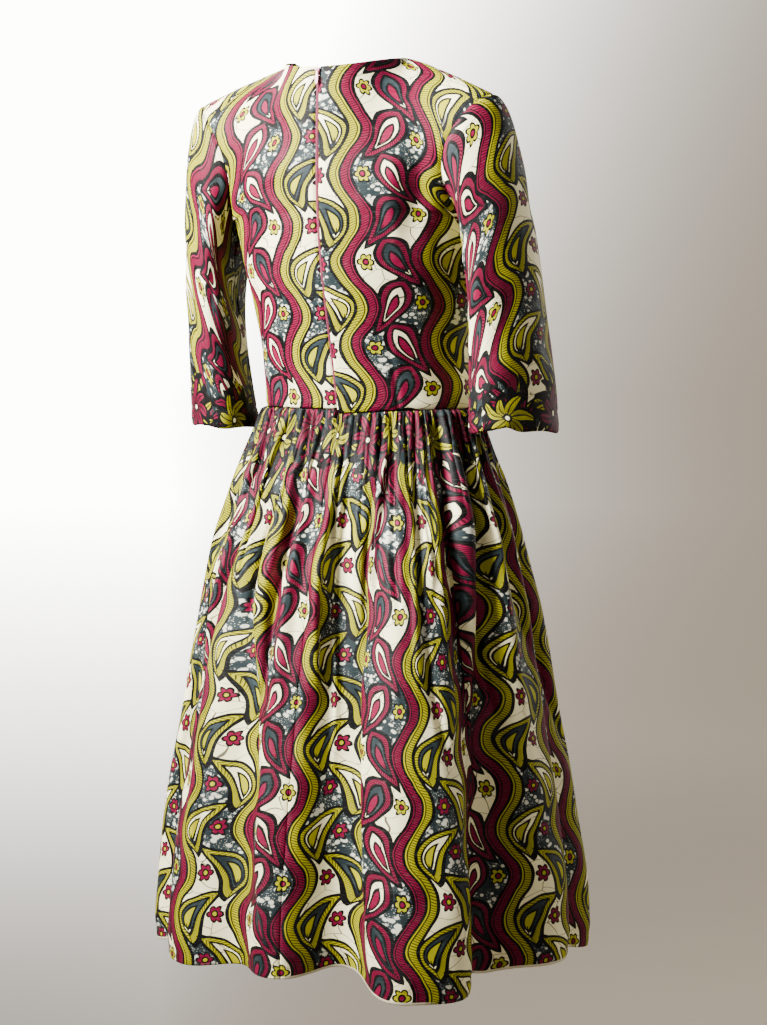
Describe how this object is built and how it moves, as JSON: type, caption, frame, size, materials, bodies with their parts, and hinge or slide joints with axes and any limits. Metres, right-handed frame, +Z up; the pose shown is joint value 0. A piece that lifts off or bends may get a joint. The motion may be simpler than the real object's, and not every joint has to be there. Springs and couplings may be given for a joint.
{
  "type": "knee-length wax-print cotton dress",
  "caption": "Knee-length dress with a fitted bodice, elbow-length set-in sleeves, a round neck, a centre back zip and a full skirt gathered to the waist.",
  "frame": {"origin": "midway between the two shoulder seams, level with their neck ends, where the wearer's shoulders carry the dress", "axes": "+Z up, -Y the wearer's front, +X the wearer's left"},
  "size_m": [0.5114, 0.4906, 1.0461],
  "materials": {
    "wax_print_cotton": "crisp plain-weave cotton with a multi-coloured wax print and a slight sheen",
    "zip_tape": "woven tape, matt",
    "zip_enamel": "gloss enamel"
  },
  "bodies": {
    "dress": {"bodice_front": "wax_print_cotton", "bodice_back_left": "wax_print_cotton", "bodice_back_right": "wax_print_cotton", "sleeve_left": "wax_print_cotton", "sleeve_right": "wax_print_cotton", "skirt_front": "wax_print_cotton", "skirt_back_left": "wax_print_cotton", "skirt_back_right": "wax_print_cotton", "zip_chain": "zip_tape", "zip_slider": "zip_enamel"},
    "zip_pull": {"zip_pull": "zip_enamel"}
  },
  "joints": [
    {"name": "zip_pull_hinge", "type": "hinge", "parent": "dress", "child": "zip_pull", "pos_m": [0, 0.0772, -0.0179], "axis": [1, 0, 0], "range_deg": [0, 150]}
  ]
}
